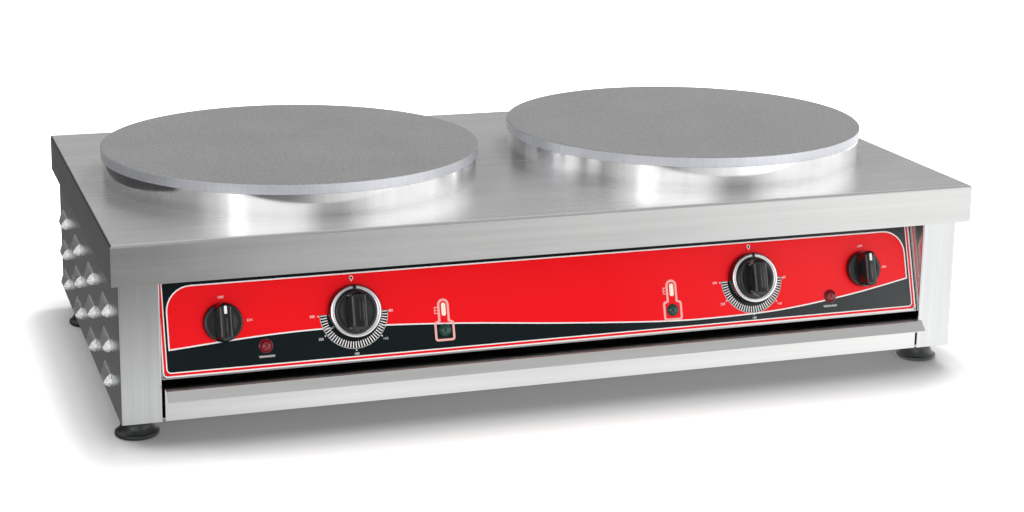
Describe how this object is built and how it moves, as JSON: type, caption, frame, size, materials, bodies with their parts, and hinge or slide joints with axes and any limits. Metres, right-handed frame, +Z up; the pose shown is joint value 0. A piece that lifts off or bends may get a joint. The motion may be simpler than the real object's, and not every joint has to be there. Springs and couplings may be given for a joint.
{
  "type": "crepe griddle",
  "caption": "Countertop electric crepe griddle with two round cast plates on a folded steel cabinet, a tilted control panel and a pull-out crumb tray.",
  "frame": {"origin": "on the bench, below the middle of the top sheet", "axes": "+X to the operator's right, +Y to the back of the cabinet, +Z up"},
  "size_m": [0.907, 0.518, 0.2368],
  "materials": {
    "brushed_stainless": "brushed",
    "polished_steel": "polished",
    "plain_sheet": "mill",
    "zinc_plated": "zinc plated",
    "griddle_iron": "machined",
    "element_sheath": "heat-darkened",
    "insulation_board": "fibrous",
    "copper": "satin",
    "ceramic": "glazed",
    "black_plastic": "satin",
    "black_gloss": "gloss",
    "white_print": "matte",
    "bright_ring": "bright anodised",
    "printed_film": "satin print",
    "green_lens": "gloss",
    "red_lens": "gloss",
    "foot_plastic": "satin",
    "wire_sleeve": "matte"
  },
  "bodies": {
    "cabinet": {"top_sheet": "brushed_stainless", "left_side_panel": "brushed_stainless", "right_side_panel": "brushed_stainless", "rear_panel": "brushed_stainless", "base_pan": "plain_sheet", "electrics_shelf": "plain_sheet", "control_panel": "brushed_stainless", "panel_film": "printed_film", "left_griddle_plate": "griddle_iron", "right_griddle_plate": "griddle_iron", "left_collar": "polished_steel", "right_collar": "polished_steel", "left_heating_element": "element_sheath", "right_heating_element": "element_sheath", "left_element_clamp": "plain_sheet", "right_element_clamp": "plain_sheet", "left_insulation": "insulation_board", "right_insulation": "insulation_board", "left_insulation_pan": "plain_sheet", "right_insulation_pan": "plain_sheet", "left_support_bar": "zinc_plated", "right_support_bar": "zinc_plated", "plate_studs": "zinc_plated", "plate_nuts": "zinc_plated", "bar_fasteners": "zinc_plated", "element_insulators": "ceramic", "left_thermostat_bulb": "copper", "right_thermostat_bulb": "copper", "left_thermostat": "plain_sheet", "right_thermostat": "plain_sheet", "left_switch": "black_plastic", "right_switch": "black_plastic", "left_green_lamp": "green_lens", "right_green_lamp": "green_lens", "left_red_lamp": "red_lens", "right_red_lamp": "red_lens", "lamp_bodies": "black_plastic", "tray_runners": "plain_sheet", "cable_gland": "black_plastic", "terminal_block": "ceramic", "wiring": "wire_sleeve", "small_fasteners": "zinc_plated"},
    "crumb_tray": {"tray_box": "brushed_stainless", "tray_front": "brushed_stainless"},
    "left_switch_turning": {"left_switch_knob": "black_gloss", "left_switch_pointer": "white_print", "left_switch_spindle": "zinc_plated"},
    "left_dial_turning": {"left_dial": "black_gloss", "left_dial_ring": "bright_ring", "left_dial_spindle": "zinc_plated"},
    "right_switch_turning": {"right_switch_knob": "black_gloss", "right_switch_pointer": "white_print", "right_switch_spindle": "zinc_plated"},
    "right_dial_turning": {"right_dial": "black_gloss", "right_dial_ring": "bright_ring", "right_dial_spindle": "zinc_plated"},
    "front_left_foot_turning": {"front_left_foot": "foot_plastic"},
    "front_right_foot_turning": {"front_right_foot": "foot_plastic"},
    "rear_left_foot_turning": {"rear_left_foot": "foot_plastic"},
    "rear_right_foot_turning": {"rear_right_foot": "foot_plastic"}
  },
  "joints": [
    {"name": "tray_slide", "type": "slide", "parent": "cabinet", "child": "crumb_tray", "axis": [0, -1, 0], "range_m": [0, 0.38]},
    {"name": "left_switch_turn", "type": "hinge", "parent": "cabinet", "child": "left_switch_turning", "pos_m": [-0.3447, -0.21988, 0.11081], "axis": [0, 0.9563, -0.2924], "range_deg": [0, 90]},
    {"name": "left_dial_turn", "type": "hinge", "parent": "cabinet", "child": "left_dial_turning", "pos_m": [-0.2146, -0.21988, 0.11081], "axis": [0, 0.9563, -0.2924], "range_deg": [0, 270]},
    {"name": "right_switch_turn", "type": "hinge", "parent": "cabinet", "child": "right_switch_turning", "pos_m": [0.3447, -0.21988, 0.11081], "axis": [0, 0.9563, -0.2924], "range_deg": [0, 90]},
    {"name": "right_dial_turn", "type": "hinge", "parent": "cabinet", "child": "right_dial_turning", "pos_m": [0.2146, -0.21988, 0.11081], "axis": [0, 0.9563, -0.2924], "range_deg": [0, 270]},
    {"name": "front_left_foot_turn", "type": "hinge", "parent": "cabinet", "child": "front_left_foot_turning", "pos_m": [-0.4265, -0.203, 0], "axis": [0, 0, 1], "continuous": true},
    {"name": "front_right_foot_turn", "type": "hinge", "parent": "cabinet", "child": "front_right_foot_turning", "pos_m": [0.4265, -0.203, 0], "axis": [0, 0, 1], "continuous": true},
    {"name": "rear_left_foot_turn", "type": "hinge", "parent": "cabinet", "child": "rear_left_foot_turning", "pos_m": [-0.4265, 0.1715, 0], "axis": [0, 0, 1], "continuous": true},
    {"name": "rear_right_foot_turn", "type": "hinge", "parent": "cabinet", "child": "rear_right_foot_turning", "pos_m": [0.4265, 0.1715, 0], "axis": [0, 0, 1], "continuous": true}
  ]
}
